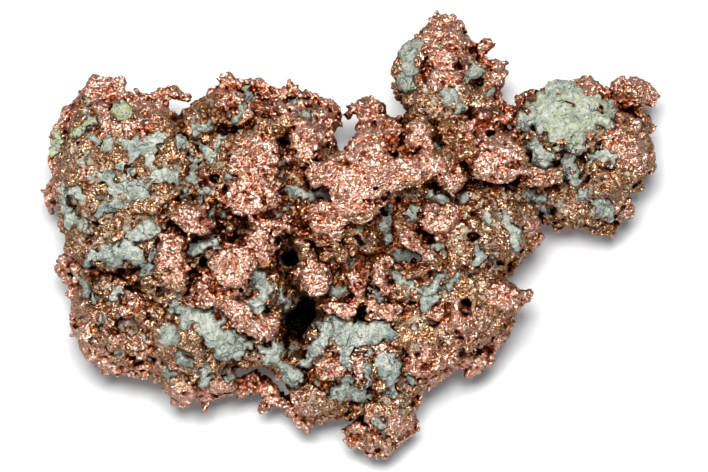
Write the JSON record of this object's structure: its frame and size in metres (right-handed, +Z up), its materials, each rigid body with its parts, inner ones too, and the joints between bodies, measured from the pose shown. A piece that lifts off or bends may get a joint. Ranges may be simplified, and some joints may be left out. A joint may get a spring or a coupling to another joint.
{
  "type": "native copper nugget",
  "caption": "Branching, hackly lump of native copper with knotted ridges, hollows and pale mineral crust; lies flat on worn feet.",
  "frame": {"origin": "on the table that the nugget lies on, below the middle of its footprint", "axes": "+X along the nugget's length, towards the lobe on the right; +Y across it, towards the tall peak; +Z up, out of its knotted upper face"},
  "size_m": [0.0915, 0.0664, 0.0298],
  "materials": {
    "copper": "rough, hackly and sparkling native copper, pink on the high lobes and brown-gold in the lower ones",
    "crust": "matt, pale grey-green mineral crust grown into the metal"
  },
  "bodies": {
    "root": {"nugget": "copper"}
  },
  "joints": []
}
